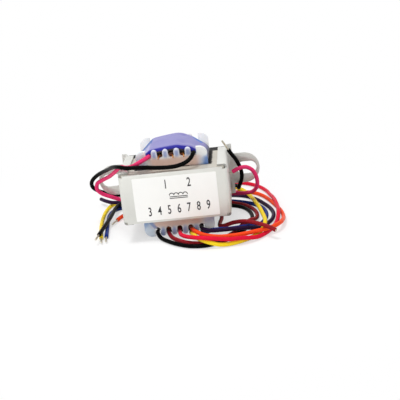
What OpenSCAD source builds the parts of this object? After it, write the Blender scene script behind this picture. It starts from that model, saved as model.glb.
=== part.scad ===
// Open-frame speaker line transformer: a laminated core in a folded clamp frame, a combed bobbin with
// two windings under film tape, and nine loose leads. Millimetres.
// X runs along the ears, +Y points at the surface it is screwed to, Z is up from the table it lies on.

/* [Core] */
// Width of the laminations across both outer legs
core_w = 41; // [39:0.5:46]
// Width of one outer leg
leg_w = 6; // [4:0.5:8]
// Width of the centre leg
center_w = 13; // [10:0.5:15]
// Depth of each yoke
yoke_d = 6; // [4:0.5:9]
// Length of the windows between the yokes
window_l = 21; // [18:0.5:30]
// Height of the lamination stack
stack_h = 20; // [14:0.5:30]
// Thickness of one lamination
lam_t = 0.5; // [0.35:0.05:1]

/* [Clamp frame] */
// Thickness of the frame's sheet
sheet_t = 0.8; // [0.6:0.1:1.2]
// Inside radius of the four upright bends
bend_r = 0.9; // [0.5:0.1:1.4]
// Inside radius where the lips fold over
fold_r = 0.25; // [0.1:0.05:0.3]
// Gap between the core and the walls and plate of the frame
core_gap = 0.3; // [0.3:0.05:0.6]
// How far the lips reach in over the outer legs
lip_w = 2.7; // [1.5:0.1:4]
// Gap between the plate and the front end of the lips
lip_front_gap = 1.2; // [1:0.1:3]
// Distance from the rear end of the lips to the ears
lip_rear_gap = 3.2; // [2.8:0.1:6]
// Height of the notch at the ends of the two front bends
relief_h = 0.9; // [0.4:0.1:2]
// Width over the ends of both ears
ear_span = 69; // [66:0.5:80]
// Height of an ear
ear_h = 13; // [11:0.5:16]
// Width of the tall root of an ear
shoulder_w = 1.7; // [1.6:0.1:2.5]
// Width of a screw slot
slot_w = 5.4; // [3.2:0.1:6]
// Length of a screw slot
slot_l = 8.4; // [6.5:0.1:9]
// Metal left between a screw slot and the end of its ear
slot_end = 1.3; // [0.8:0.1:2.5]
// How far the mounting face stands behind the core
seat_gap = 0.2; // [0:0.05:1]

/* [Bobbin] */
// Wall of the tube round the centre leg
tube_t = 1; // [0.6:0.1:1.5]
// Thickness of the flanges
flange_t = 1.1; // [0.8:0.1:1.5]
// Clearance between the bobbin and the core
bobbin_gap = 0.2; // [0.1:0.05:0.5]
// How far the flanges stand out past the faces of the stack
flange_rise = 8; // [7:0.5:11]
// Outward lean of the combs, pushed apart by the full coil
flange_lean = 14; // [4:1:18]
// Radius of the outer corners of the combs
comb_r = 3; // [1:0.5:3.5]
// Number of lead slots in each comb
comb_slots = 5; // [3:2:5]
// Distance between lead slots
comb_pitch = 4.5; // [4:0.1:4.6]
// Width of a lead slot
comb_slot_w = 2.2; // [1.9:0.1:2.6]
// Depth of a lead slot
comb_slot_d = 3.6; // [3:0.1:4.5]

/* [Windings] */
// Thickness of the tape over the finished coil
tape_t = 0.6; // [0.3:0.1:1]
// Gap between the tape and the core's outer legs
tape_side_gap = 0.4; // [0.2:0.1:1.5]
// How far the crown of the tape stands above the upper combs
crown_rise = 1.3; // [0.2:0.1:2]
// How far the tape stays above the tips of the lower combs
crown_drop = 0.3; // [0.1:0.1:2]
// Radius of the crown above the core
crown_top_r = 17.3; // [16:0.1:22]
// Radius of the crown below the core
crown_low_r = 26; // [18:0.5:40]
// Thickness of the primary winding beside the tube
primary_t = 2.85; // [1.5:0.05:3.5]
// Thickness of the tape between the windings
barrier_t = 0.3; // [0.1:0.05:0.6]
// Clearance from one layer of the coil to the next
layer_gap = 0.05; // [0.02:0.01:0.1]

/* [Label] */
// Width of the sticker
label_w = 33.4; // [20:0.1:38]
// Height of the sticker
label_h = 17.6; // [10:0.1:18]
// Thickness of the sticker
label_t = 0.1; // [0.05:0.01:0.2]
// Corner radius of the sticker
label_r = 0.4; // [0.2:0.1:2]
// How far the sticker sits to the right of the plate's middle
label_x = 0.5; // [-1:0.1:1]
// How far the sticker sits below the plate's middle
label_drop = 0.3; // [0:0.1:0.8]

/* [Leads] */
// Outside diameter of a lead
lead_d = 1.7; // [1.2:0.1:1.7]
// Diameter of a stripped end
strand_d = 0.8; // [0.4:0.1:1]
// Length of a stripped end
strip_l = 5.5; // [3:0.5:8]
// Length of the two ends that are stripped short
short_strip_l = 1; // [0.6:0.1:3]
// Length of the strands that show at the lead cut off blunt
stub_l = 0.4; // [0.2:0.1:1]

/* [Hidden] */
$fn = 64;
core_d = 2 * yoke_d + window_l;
mid_z = stack_h / 2 + flange_rise;
window_w = (core_w - center_w) / 2 - leg_w;

total_d = label_t + sheet_t + core_gap + core_d + seat_gap;
plate_y = label_t - total_d / 2;
core_y = plate_y + sheet_t + core_gap;
back_y = total_d / 2;
ear_y = back_y - sheet_t;
coil_y = core_y + yoke_d + window_l / 2;

bend_out_r = bend_r + sheet_t;
fold_out_r = fold_r + sheet_t;
wall_x = core_w / 2 + core_gap + sheet_t;
lip_x = wall_x - fold_out_r - lip_w;
lip_y = plate_y + sheet_t + lip_front_gap;
lip_end_y = ear_y - lip_rear_gap;
root_h = stack_h + 2 * sheet_t;
slot_spacing = ear_span - slot_l - 2 * slot_end;

flange_w = core_w - 2 * leg_w - 2 * bobbin_gap;
spool_l = window_l - 2 * bobbin_gap;
tube_w = center_w + 2 * bobbin_gap + 2 * tube_t;
tube_h = stack_h + 2 * bobbin_gap + 2 * tube_t;
comb_z = stack_h / 2 + bobbin_gap;
comb_knee = flange_t * sin(flange_lean);
comb_l = (flange_rise - bobbin_gap - comb_knee) / cos(flange_lean);
tooth_w = comb_pitch - comb_slot_w;

coil_w = core_w - 2 * leg_w - 2 * tape_side_gap;
coil_top = stack_h / 2 + flange_rise + crown_rise;
coil_low = stack_h / 2 + flange_rise - crown_drop;
coil_l = spool_l - 2 * flange_t - 2 * layer_gap;

// How far each layer lies inside the outside of the tape.
secondary_in = tape_t + layer_gap;
primary_in = coil_w / 2 - tube_w / 2 - layer_gap - primary_t;
barrier_in = primary_in - layer_gap - barrier_t;

// The leads were laid round a frame of this width, depth and height, and stretch with it.
ROUTE_W = 43.2;
ROUTE_D = 34.4;
ROUTE_H = 36;
LEAD_SIDES = 8;
LEAD_STEPS = 2;
comb_y = coil_y - spool_l / 2;

function stretch(points) = [
    for (p = points) [p.x * 2 * wall_x / ROUTE_W, p.y * total_d / ROUTE_D, p.z]
];
function stretch_all(points) = [
    for (p = stretch(points)) [p.x, p.y, p.z * 2 * mid_z / ROUTE_H]
];

// Each lead leaves a slot of the front combs, counted from the middle one, and then follows its points.
function from_slot(slot, z, reach, swing, points) = concat(
    [[slot * comb_pitch - swing / 4, comb_y - 0.6, z], [slot * comb_pitch + swing, comb_y - reach, z]],
    points
);

BLACK = from_slot(-2, 2, 3.5, 0.2, stretch([
    [-7.3, -17, 1.1], [-4.1, -21.5, 0.9], [0, -26, 0.9], [5.2, -29.6, 0.9], [11.4, -30.4, 0.9],
    [17.3, -27.2, 0.9], [22.5, -22, 0.9], [26, -15.5, 0.9], [28.5, -8, 0.9], [29.5, 0, 0.9], [28.5, 8, 0.9],
    [25.5, 15, 0.9], [20, 19.5, 0.9], [12, 22, 0.9], [3, 24, 0.9], [-6, 26, 0.9], [-14, 27.8, 1],
    [-20.5, 30, 2.1], [-25.6, 32, 2.85], [-29.2, 30.2, 2.8], [-30.6, 24.5, 2.7], [-31.1, 15, 2.7],
    [-31.9, 5, 2.7], [-32.7, -3.5, 2.7], [-33.4, -10, 2.6]
]));

BROWN = from_slot(-1, 2, 3.5, 0.1, stretch([
    [-2.9, -17.3, 1.1], [0, -21.4, 0.9], [3.7, -25, 0.9], [8.2, -27.2, 0.9], [13, -26.7, 0.9],
    [17.4, -24, 0.9], [20.5, -20, 0.9], [22.8, -16.6, 1], [25.6, -13.2, 2.4], [28.5, -9.8, 2.8],
    [30.6, -5.3, 1.8], [31.6, 0, 1], [31.2, 6.6, 0.9], [29.2, 13.2, 0.9], [26, 18.4, 0.9], [22, 21.9, 1],
    [17.9, 23.1, 1.8], [14, 21.9, 2.8], [12.4, 18.2, 2.5], [13.8, 14, 1.4], [16.2, 9, 0.9],
    [16.7, 2.5, 0.9], [16.1, -3.5, 0.9], [16.2, -8.2, 1.1], [18.2, -10.9, 1.9], [21.9, -12.4, 3.3],
    [26.4, -15.4, 4.4], [30.5, -19, 4.6], [34.2, -23.4, 4.6], [36.9, -26.8, 4.3], [38.3, -28.2, 3.8]
]));

RED = from_slot(0, 2, 3.5, 0.1, stretch([
    [0.9, -18.5, 2.3], [3.3, -23.7, 3], [6.3, -28.5, 4], [9.9, -31.5, 4.5], [13.7, -32, 4.1],
    [17.3, -31.7, 3.4], [20.8, -31.3, 2.85], [24.4, -30.6, 2.7], [28, -28.8, 1.9], [31.3, -26.2, 1.1],
    [34.3, -22.2, 0.9], [36.6, -17.8, 0.9], [38.4, -13, 1], [39.7, -8, 1.5], [40.4, -2, 2.7], [40.4, 5, 2.7],
    [39.8, 13, 2.7], [39, 21, 2.2], [37.8, 29, 1.3], [36.3, 37, 0.9], [33, 45, 0.9], [27.3, 52, 0.9],
    [19, 56, 0.9], [10, 57, 0.9], [0, 55, 0.9], [-8, 51.5, 0.9]
]));

ORANGE = from_slot(1, 2.6, 3.5, 0.6, stretch([
    [7.1, -18, 2.7], [10.5, -23, 2.7], [16.5, -26.8, 2.75], [23.6, -26.6, 2.75], [30.2, -24.4, 2.75],
    [36.3, -21.3, 2.75], [39.8, -17.2, 2.7], [41.6, -10.8, 1.9], [42.3, -3.5, 1], [41.7, 4.5, 0.9],
    [39.8, 13, 0.9], [37.5, 21.5, 0.9], [34.8, 29, 0.9], [31, 35, 0.9], [25.5, 38.3, 0.9], [18, 39.8, 1],
    [11, 39.3, 1.7], [5, 37.8, 2.7], [-1, 34.2, 2.8], [-8, 29.7, 2.75], [-14, 25.5, 2.75], [-19.5, 22, 2.6],
    [-24, 19.5, 1.8], [-27.3, 17.2, 1], [-28.6, 13.5, 0.9]
]));

YELLOW = from_slot(1, 0.9, 3.5, 0.1, stretch([
    [5.5, -18, 1.6], [6.6, -22.3, 2.6], [7.9, -26.4, 2.75], [10.2, -29.9, 2.8], [13.2, -31.9, 2.3],
    [16.6, -32, 1.3], [20.4, -31, 0.9], [24.6, -29, 0.9], [28.4, -25.9, 0.9], [31.3, -22.3, 1],
    [33.5, -18.8, 1.9], [34.5, -14.5, 2.75], [34.6, -9, 2.75], [33.9, -2, 2.7], [32.9, 6, 2.7],
    [31.6, 13.5, 2.7], [30.1, 21, 2.7], [28.3, 28.5, 2.7], [25.5, 36, 2.75], [21.5, 41, 2.7], [15, 44, 1.7],
    [6, 45, 1], [-6, 45.5, 0.9], [-18, 45.5, 0.9], [-28, 43.5, 0.9], [-33.5, 37, 0.9], [-35.2, 28, 0.9],
    [-35.4, 19, 0.9], [-35, 10, 0.9], [-34, 0, 0.9], [-32.7, -9.5, 0.9]
]));

PURPLE = from_slot(2, 2.6, 3, 0, stretch([
    [10.5, -16.3, 2.7], [13.4, -18.6, 2.8], [17, -19.7, 3.1], [21, -20, 3.2], [26, -19.1, 2.9],
    [29.5, -17.2, 1.9], [32.5, -14.6, 1], [35.3, -10.5, 0.9], [37.6, -5, 0.9], [38.4, 2, 0.9],
    [37.4, 9.5, 0.9], [35, 17, 0.9], [31.5, 25, 0.9], [26, 32, 0.9], [18, 35.5, 0.9], [8, 36, 0.9],
    [-6, 36.5, 0.9], [-17, 36.2, 1.1], [-24, 34.9, 2.2], [-29.3, 34, 2.75], [-33.2, 35, 2.75],
    [-36.6, 38.6, 2.7], [-39.4, 43.2, 2.5]
]));

BLUE = from_slot(2, 0.88, 3, 0.4, stretch([
    [11.2, -14.8, 1.3], [13.4, -16.6, 2.4], [16.4, -17.8, 2.8], [20.5, -18.1, 2.75], [25.5, -17.1, 2.7],
    [30, -14, 1.9], [33, -9.5, 1], [35, -3, 0.9], [35.4, 4.5, 0.9], [33.8, 12, 0.9], [30, 18.5, 0.9],
    [23.5, 24, 0.9], [16, 27, 0.9], [6, 28, 0.9], [-5, 30, 0.9], [-16, 32.3, 0.9], [-25, 32.4, 0.9],
    [-31, 29, 0.9], [-32.9, 22, 0.9], [-32.6, 13, 0.9], [-31.7, 3, 0.9], [-30.7, -8.5, 0.9]
]));

OUT_BLACK = from_slot(2, 2 * mid_z - 2.6, 2.4, -0.2, stretch_all([
    [7.9, -14.4, 32.2], [5.5, -15.6, 30.8], [2, -15.6, 29.8], [-2, -15.2, 29.5], [-6.2, -15.3, 29.8],
    [-10.5, -15.6, 30.4], [-14.6, -15.6, 30.7], [-18.2, -14.7, 30.7], [-21.3, -12.3, 30.8],
    [-24.5, -6.6, 29.5], [-28.3, 1.5, 26.5], [-32.7, 8.2, 23.5], [-36, 11.8, 20.7], [-37.5, 13.7, 18.2],
    [-37.2, 15.6, 15.6], [-35, 17.6, 13.3], [-31.5, 18.7, 11.8], [-27.6, 19.2, 10.5], [-20, 20, 9.2],
    [-10, 20.6, 8.3], [0, 21, 8], [10, 21.6, 8.2], [17, 22.1, 8.6], [21, 21.9, 8.9], [23.8, 20.4, 9.2],
    [24.9, 17.9, 9.4], [24.8, 15.7, 9.6], [25, 13.9, 10.7], [25.9, 13, 12.7], [26.7, 12.5, 15.8],
    [26.3, 11.3, 19.6], [24.9, 9.4, 23.7], [23.2, 7.4, 27], [22.3, 6.4, 28.9]
]));

OUT_PINK = from_slot(-2, 2 * mid_z - 2.6, 2.2, -0.5, stretch_all([
    [-11.2, -13.4, 32.8], [-13.7, -13.4, 31.6], [-16.2, -12.3, 30.4], [-18.6, -10.8, 29.9],
    [-21, -9, 29.9], [-23.6, -4.8, 27.4], [-27.7, 3, 23.4], [-32, 9.3, 20.4], [-34.7, 12, 18.4],
    [-35.3, 12.9, 15.6], [-33.6, 13.9, 13.2], [-30.5, 15, 11.3], [-27, 17, 9.2], [-21, 19.4, 7.3],
    [-12, 22, 5.9], [-2, 24.5, 5], [8, 26, 4.6], [16, 26, 4.6], [22, 23.5, 5], [26.5, 20, 5.7],
    [30.4, 16.3, 7.1], [32.6, 13.5, 10.2], [32.8, 12, 14.2], [31.4, 10.7, 18], [28.7, 9.5, 20],
    [25.7, 9.1, 19.8], [22.9, 9, 18.6]
]));

function unit(v) = v / norm(v);

// A point of the smooth curve from b to c, a share t of the way along.
function between(a, b, c, d, t) = (
    2 * b + (c - a) * t + (2 * a - 5 * b + 4 * c - d) * t * t + (3 * b - a - 3 * c + d) * t * t * t
) / 2;

function smooth(p) =
    let (n = len(p), q = concat([2 * p[0] - p[1]], p, [2 * p[n - 1] - p[n - 2]]))
    concat(
        [for (i = [0 : n - 2], s = [0 : LEAD_STEPS - 1])
            between(q[i], q[i + 1], q[i + 2], q[i + 3], s / LEAD_STEPS)],
        [p[n - 1]]
    );

// The direction of a lead at each point of its curve.
function headings(p, c) = [
    for (i = [0 : len(c) - 1])
        unit(i == 0 ? p[1] - p[0] : i == len(c) - 1 ? p[len(p) - 1] - p[len(p) - 2] : c[i + 1] - c[i - 1])
];

// Directions square to the headings, carried along the curve without twisting.
function square_to(v, h) = unit(v - (v * h) * h);
function sides(h) = [
    for (
        i = 0, v = square_to([0, 0, 1], h[0]);
        i < len(h);
        i = i + 1, v = i < len(h) ? square_to(v, h[i]) : v
    ) v
];

// One lead: a tube of rings along the smooth curve through its points.
module lead(p) {
    c = smooth(p);
    h = headings(p, c);
    v = sides(h);
    n = LEAD_SIDES;
    last = len(c) - 1;
    rings = [
        for (i = [0 : last], k = [0 : n - 1])
            c[i] + lead_d / 2 * (cos(360 * k / n) * v[i] + sin(360 * k / n) * cross(h[i], v[i]))
    ];
    walls = [
        for (i = [0 : last - 1], k = [0 : n - 1], half = [0, 1])
            let (a = i * n + k, b = i * n + (k + 1) % n)
            half == 0 ? [a, a + n, b] : [b, a + n, b + n]
    ];
    start_cap = [for (k = [0 : n - 1]) k];
    end_cap = [for (k = [0 : n - 1]) last * n + n - 1 - k];
    polyhedron(rings, concat(walls, [start_cap], [end_cap]));
}

// The stripped end of a lead, straight on from where its cover stops.
module tip(p, l, rounded = true) {
    end = p[len(p) - 1];
    h = unit(end - p[len(p) - 2]);
    rod_l = rounded ? l - strand_d / 2 : l;
    translate(end) rotate([0, acos(h.z), atan2(h.y, h.x)]) {
        cylinder(d = strand_d, h = rod_l, $fn = 24);
        if (rounded) translate([0, 0, rod_l]) sphere(d = strand_d, $fn = 24);
    }
}

// A flat outline, drawn with its second axis upwards, made a plate that is t thick towards +Y.
module upright(t) {
    translate([0, t, 0]) rotate([90, 0, 0]) linear_extrude(t) children();
}

module rounded_square(size, r) {
    translate([-size.x / 2 + r, -size.y / 2]) square([size.x - 2 * r, size.y]);
    translate([-size.x / 2, -size.y / 2 + r]) square([size.x, size.y - 2 * r]);
    for (x = [-1, 1], y = [-1, 1])
        translate([x * (size.x / 2 - r), y * (size.y / 2 - r)]) circle(r);
}

module stadium(l, w) {
    square([l - w, w], center = true);
    for (side = [-1, 1]) translate([side * (l - w) / 2, 0]) circle(w / 2);
}

// A quarter turn of sheet about Z, from the direction -Y to the direction +X.
module quarter_bend(h) {
    rotate([0, 0, -90]) rotate_extrude(angle = 90)
        translate([bend_r, -h / 2]) square([sheet_t, h]);
}

// The side wall with its two folded lips, cut across.
module lip_section() {
    wall_in = wall_x - sheet_t;
    fold_z = stack_h / 2 - fold_r;
    translate([wall_in, -fold_z]) square([sheet_t, 2 * fold_z]);
    for (side = [0, 1]) mirror([0, side]) {
        translate([lip_x, stack_h / 2]) square([lip_w, sheet_t]);
        intersection() {
            translate([wall_in - fold_r, fold_z]) difference() {
                circle(fold_out_r);
                circle(fold_r);
            }
            translate([wall_in - fold_r, fold_z]) square(fold_out_r);
        }
    }
}

module ear_outline() {
    end_x = ear_span / 2 - ear_h / 2;
    root_x = wall_x + bend_r;
    difference() {
        union() {
            translate([root_x, -root_h / 2]) square([shoulder_w - bend_r, root_h]);
            translate([root_x, -ear_h / 2]) square([end_x - root_x, ear_h]);
            translate([end_x, 0]) circle(ear_h / 2);
        }
        translate([slot_spacing / 2, 0]) stadium(slot_l, slot_w);
    }
}

// The right half of the frame from the front bend to the ear, about the stack's middle height.
module frame_side() {
    bend_y = plate_y + bend_out_r;
    wall_in = wall_x - sheet_t;
    turn_y = ear_y - bend_r;
    translate([wall_x - bend_out_r, bend_y, 0]) quarter_bend(stack_h - 2 * relief_h);
    translate([wall_in, bend_y, -stack_h / 2 + relief_h])
        cube([sheet_t, lip_y - bend_y, stack_h - 2 * relief_h]);
    translate([0, lip_y, 0]) upright(lip_end_y - lip_y) lip_section();
    translate([wall_in, lip_end_y, -stack_h / 2 + relief_h])
        cube([sheet_t, turn_y - lip_end_y, stack_h - 2 * relief_h]);
    translate([wall_in, turn_y - 1, -root_h / 2]) cube([sheet_t, 1, root_h]);
    translate([wall_x + bend_r, turn_y, 0]) rotate([0, 0, 180]) quarter_bend(root_h);
    translate([0, ear_y, 0]) upright(sheet_t) ear_outline();
}

module clamp_frame() {
    color("lightgray") translate([0, 0, mid_z]) {
        translate([0, plate_y, 0]) upright(sheet_t)
            square([2 * (wall_x - bend_out_r), stack_h], center = true);
        for (side = [0, 1]) mirror([side, 0, 0]) frame_side();
    }
}

module e_laminations() {
    color("darkkhaki") translate([0, core_y, mid_z - stack_h / 2]) linear_extrude(stack_h) difference() {
        translate([-core_w / 2, 0]) square([core_w, yoke_d + window_l]);
        for (side = [-1, 1])
            translate([side * (center_w + window_w) / 2, yoke_d + window_l / 2])
                square([window_w, window_l], center = true);
    }
}

module i_laminations() {
    groove_w = lam_t / 5;
    groove_d = lam_t / 2;
    sheets = floor(stack_h / lam_t);
    front_y = core_y + yoke_d + window_l;
    color("dimgray") translate([-core_w / 2, front_y, mid_z - stack_h / 2]) difference() {
        cube([core_w, yoke_d, stack_h]);
        for (i = [1 : sheets - 1])
            translate([0, yoke_d - groove_d, i * lam_t - groove_w / 2])
                cube([core_w, groove_d, groove_w]);
    }
}

// One comb lying flat: its root at zero, its round teeth pointing up.
module comb_outline() {
    first_x = -(comb_slots - 1) / 2 * comb_pitch;
    tab_x = -first_x + comb_slot_w / 2;
    tab_w = flange_w / 2 - tab_x;
    root_l = comb_l - comb_slot_d + comb_slot_w / 2;
    difference() {
        union() {
            translate([-flange_w / 2, -stack_h]) square([flange_w, stack_h + root_l]);
            for (i = [0 : comb_slots - 2]) translate([first_x + (i + 0.5) * comb_pitch, 0]) {
                translate([-tooth_w / 2, 0]) square([tooth_w, comb_l - tooth_w / 2]);
                translate([0, comb_l - tooth_w / 2]) circle(tooth_w / 2);
            }
            for (side = [0, 1]) mirror([side, 0]) {
                translate([tab_x, 0]) square([tab_w - comb_r, comb_l]);
                translate([tab_x, 0]) square([tab_w, comb_l - comb_r]);
                intersection() {
                    translate([tab_x + tab_w - comb_r, comb_l - comb_r]) circle(comb_r);
                    translate([tab_x, 0]) square([tab_w, comb_l]);
                }
            }
        }
        for (i = [0 : comb_slots - 1])
            translate([first_x + i * comb_pitch, root_l]) circle(comb_slot_w / 2);
    }
}

// Half a flange from the side: upright beside the core, then leaning out from the knee.
module flange_profile() {
    tip_y = -comb_l * sin(flange_lean);
    tip_z = comb_z + comb_l * cos(flange_lean);
    polygon([
        [0, -flange_t], [flange_t, -flange_t], [flange_t, comb_z + flange_t * tan(flange_lean / 2)],
        [tip_y + flange_t * cos(flange_lean), tip_z + comb_knee], [tip_y, tip_z], [0, comb_z]
    ]);
}

// A quarter of the bobbin's two flanges: half a flange with its comb, at the front and above the core.
module half_flange() {
    translate([0, -spool_l / 2, 0]) intersection() {
        rotate([90, 0, 90]) linear_extrude(2 * flange_w, center = true) flange_profile();
        translate([0, 0, comb_z]) rotate([flange_lean, 0, 0])
            translate([0, -stack_h, 0]) upright(2 * stack_h) comb_outline();
    }
}

module bobbin() {
    color("antiquewhite") translate([0, coil_y, mid_z]) difference() {
        union() {
            cube([tube_w, spool_l, tube_h], center = true);
            for (back = [0, 1], low = [0, 1])
                mirror([0, back, 0]) mirror([0, 0, low]) half_flange();
        }
        cube([tube_w - 2 * tube_t, spool_l + 2 * flange_t, tube_h - 2 * tube_t], center = true);
    }
}

// The outside of the coil, cut across, at a given depth inside the tape's outside.
module coil_outline(depth) {
    half_w = coil_w / 2 - depth;
    top_r = crown_top_r - depth;
    low_r = crown_low_r - depth;
    intersection() {
        translate([-half_w, -coil_low]) square([2 * half_w, coil_low + coil_top]);
        union() {
            intersection() {
                translate([0, coil_top - crown_top_r]) circle(top_r);
                translate([-coil_w, 0]) square([2 * coil_w, coil_top]);
            }
            intersection() {
                translate([0, crown_low_r - coil_low]) circle(low_r);
                translate([-coil_w, -coil_low]) square([2 * coil_w, coil_low]);
            }
        }
    }
}

// The room between the flanges, seen from the side: it widens where the combs lean out.
module spool_room() {
    half_l = coil_l / 2;
    knee_z = comb_z + comb_knee;
    tip_l = half_l + (coil_top - knee_z) * tan(flange_lean);
    polygon([
        [-half_l, -knee_z], [-tip_l, -coil_top], [tip_l, -coil_top], [half_l, -knee_z],
        [half_l, knee_z], [tip_l, coil_top], [-tip_l, coil_top], [-half_l, knee_z]
    ]);
}

// One layer of the coil between two depths, trimmed by the flanges.
module coil_layer() {
    translate([0, coil_y, mid_z]) intersection() {
        translate([0, -coil_l, 0]) upright(2 * coil_l) children();
        rotate([90, 0, 90]) linear_extrude(2 * coil_w, center = true) spool_room();
    }
}

module primary_winding() {
    color("sienna") coil_layer() difference() {
        coil_outline(primary_in);
        square([tube_w + 2 * layer_gap, tube_h + 2 * layer_gap], center = true);
    }
}

module interwinding_tape() {
    color("khaki") coil_layer() difference() {
        coil_outline(barrier_in);
        coil_outline(barrier_in + barrier_t);
    }
}

module secondary_winding() {
    color("peru") coil_layer() difference() {
        coil_outline(secondary_in);
        coil_outline(barrier_in - layer_gap);
    }
}

module outer_tape() {
    color("royalblue") coil_layer() difference() {
        coil_outline(0);
        coil_outline(tape_t);
    }
}

module label_sticker() {
    color("white") translate([label_x, plate_y - label_t, mid_z - label_drop]) upright(label_t)
        rounded_square([label_w, label_h], label_r);
}

module lead_black() {
    color("dimgray") lead(BLACK);
}

module lead_brown() {
    color("brown") lead(BROWN);
}

module lead_red() {
    color("crimson") lead(RED);
}

module lead_orange() {
    color("orangered") lead(ORANGE);
}

module lead_yellow() {
    color("gold") lead(YELLOW);
}

module lead_purple() {
    color("indigo") lead(PURPLE);
}

module lead_blue() {
    color("mediumblue") lead(BLUE);
}

module output_lead_black() {
    color("black") lead(OUT_BLACK);
}

module output_lead_pink() {
    color("deeppink") lead(OUT_PINK);
}

module tip_black() {
    color("silver") tip(BLACK, strip_l);
}

module tip_brown() {
    color("silver") tip(BROWN, stub_l, false);
}

module tip_red() {
    color("silver") tip(RED, strip_l);
}

module tip_orange() {
    color("silver") tip(ORANGE, strip_l);
}

module tip_yellow() {
    color("silver") tip(YELLOW, strip_l);
}

module tip_purple() {
    color("silver") tip(PURPLE, short_strip_l);
}

module tip_blue() {
    color("silver") tip(BLUE, strip_l);
}

module output_tip_black() {
    color("silver") tip(OUT_BLACK, strip_l);
}

module output_tip_pink() {
    color("silver") tip(OUT_PINK, short_strip_l);
}

clamp_frame();
e_laminations();
i_laminations();
bobbin();
primary_winding();
interwinding_tape();
secondary_winding();
outer_tape();
label_sticker();
lead_black();
lead_brown();
lead_red();
lead_orange();
lead_yellow();
lead_purple();
lead_blue();
output_lead_black();
output_lead_pink();
tip_black();
tip_brown();
tip_red();
tip_orange();
tip_yellow();
tip_purple();
tip_blue();
output_tip_black();
output_tip_pink();
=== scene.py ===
"""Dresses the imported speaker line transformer: finishes, leads, tape, sticker, light and camera."""
import math

import bmesh
import bpy
from bpy.props import FloatProperty, FloatVectorProperty, PointerProperty
from mathutils import Matrix, Vector


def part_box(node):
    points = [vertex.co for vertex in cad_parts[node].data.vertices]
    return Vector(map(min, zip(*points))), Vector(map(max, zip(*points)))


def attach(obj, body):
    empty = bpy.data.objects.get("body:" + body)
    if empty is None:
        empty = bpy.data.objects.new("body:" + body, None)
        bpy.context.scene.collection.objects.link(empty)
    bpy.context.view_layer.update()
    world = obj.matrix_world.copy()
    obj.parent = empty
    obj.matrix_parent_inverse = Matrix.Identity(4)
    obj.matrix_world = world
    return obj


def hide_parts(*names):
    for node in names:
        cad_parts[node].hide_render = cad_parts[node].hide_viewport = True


bl_info = {
    "name": "Speaker line transformer",
    "version": (1, 0, 0),
    "blender": (4, 5, 0),
    "location": "View3D > Sidebar > Transformer",
    "description": "Builds the looks of a small speaker line transformer round its solid parts",
    "category": "Object",
}

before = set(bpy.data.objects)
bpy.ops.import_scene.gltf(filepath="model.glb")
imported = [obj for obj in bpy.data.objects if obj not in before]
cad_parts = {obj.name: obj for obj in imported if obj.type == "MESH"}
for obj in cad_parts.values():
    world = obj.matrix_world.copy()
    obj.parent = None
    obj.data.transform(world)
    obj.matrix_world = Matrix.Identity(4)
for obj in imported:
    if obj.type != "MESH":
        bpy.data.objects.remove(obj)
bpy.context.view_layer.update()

MM = 0.001
BODY = "root"
WHITE = (1, 1, 1, 1)

# Places that the part's source gives, in mm, and the lean of the combs as a slope.
STACK_MIDDLE = 18.0
COMB_Y = -9.8
COMB_PITCH = 4.5
LEAN = math.tan(math.radians(14))

# How near two points count as one, in metres: in a piece made here, and in a copy of a solid.
MERGE = 1e-6
SOLID_MERGE = 2e-6


# Tools

def begin():
    """Leaves edit mode and deselects everything, because an operator acts on all that is selected."""
    if bpy.context.object is not None and bpy.context.object.mode != "OBJECT":
        bpy.ops.object.mode_set(mode="OBJECT")
    bpy.ops.object.select_all(action="DESELECT")
    bpy.context.view_layer.objects.active = None


def take(*pieces):
    """Selects these objects alone; the first is the active one."""
    begin()
    for piece in pieces:
        piece.select_set(True)
    bpy.context.view_layer.objects.active = pieces[0]


def pick(piece, kind, test):
    """In edit mode, selects the vertices, edges or faces that pass a test, and nothing else."""
    bpy.ops.mesh.select_mode(type={"verts": "VERT", "edges": "EDGE", "faces": "FACE"}[kind])
    bpy.ops.mesh.select_all(action="DESELECT")
    mesh = bmesh.from_edit_mesh(piece.data)
    for part in getattr(mesh, kind):
        part.select_set(bool(test(part)))
    mesh.select_flush_mode()
    bmesh.update_edit_mesh(piece.data)


def edit(piece):
    """Opens one object in edit mode, with all of its mesh selected."""
    take(piece)
    bpy.ops.object.mode_set(mode="EDIT")
    bpy.ops.mesh.select_all(action="SELECT")


def leave():
    """Goes back from edit mode to object mode."""
    bpy.ops.object.mode_set(mode="OBJECT")


def modify(piece, kind, **settings):
    """Adds a modifier, sets it and applies it."""
    take(piece)
    modifier = piece.modifiers.new(kind.lower(), kind)
    for name, value in settings.items():
        setattr(modifier, name, value)
    bpy.ops.object.modifier_apply(modifier=modifier.name)


def settle(piece):
    """Puts the place, turn and size of an object into its mesh."""
    take(piece)
    bpy.ops.object.transform_apply(location=True, rotation=True, scale=True)


def smooth(piece, degrees=40):
    """Shades a piece smooth, apart from edges sharper than this."""
    take(piece)
    bpy.ops.object.shade_smooth_by_angle(angle=math.radians(degrees))


def outward(piece):
    """Merges doubles and turns every face outwards."""
    edit(piece)
    bpy.ops.mesh.remove_doubles(threshold=MERGE)
    bpy.ops.mesh.normals_make_consistent(inside=False)
    leave()


def hand_in(piece, name, material, stands_for=()):
    """Names a finished piece, gives it its finish and joins it to the part."""
    piece.name = name
    piece.data.name = name
    piece.data.materials.clear()
    piece.data.materials.append(material)
    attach(piece, BODY)
    if stands_for:
        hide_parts(*stands_for)


def coat_node(name, material):
    """Gives a solid that keeps its shape a finish of its own."""
    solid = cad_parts[name]
    solid.data.materials.clear()
    solid.data.materials.append(material)


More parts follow.
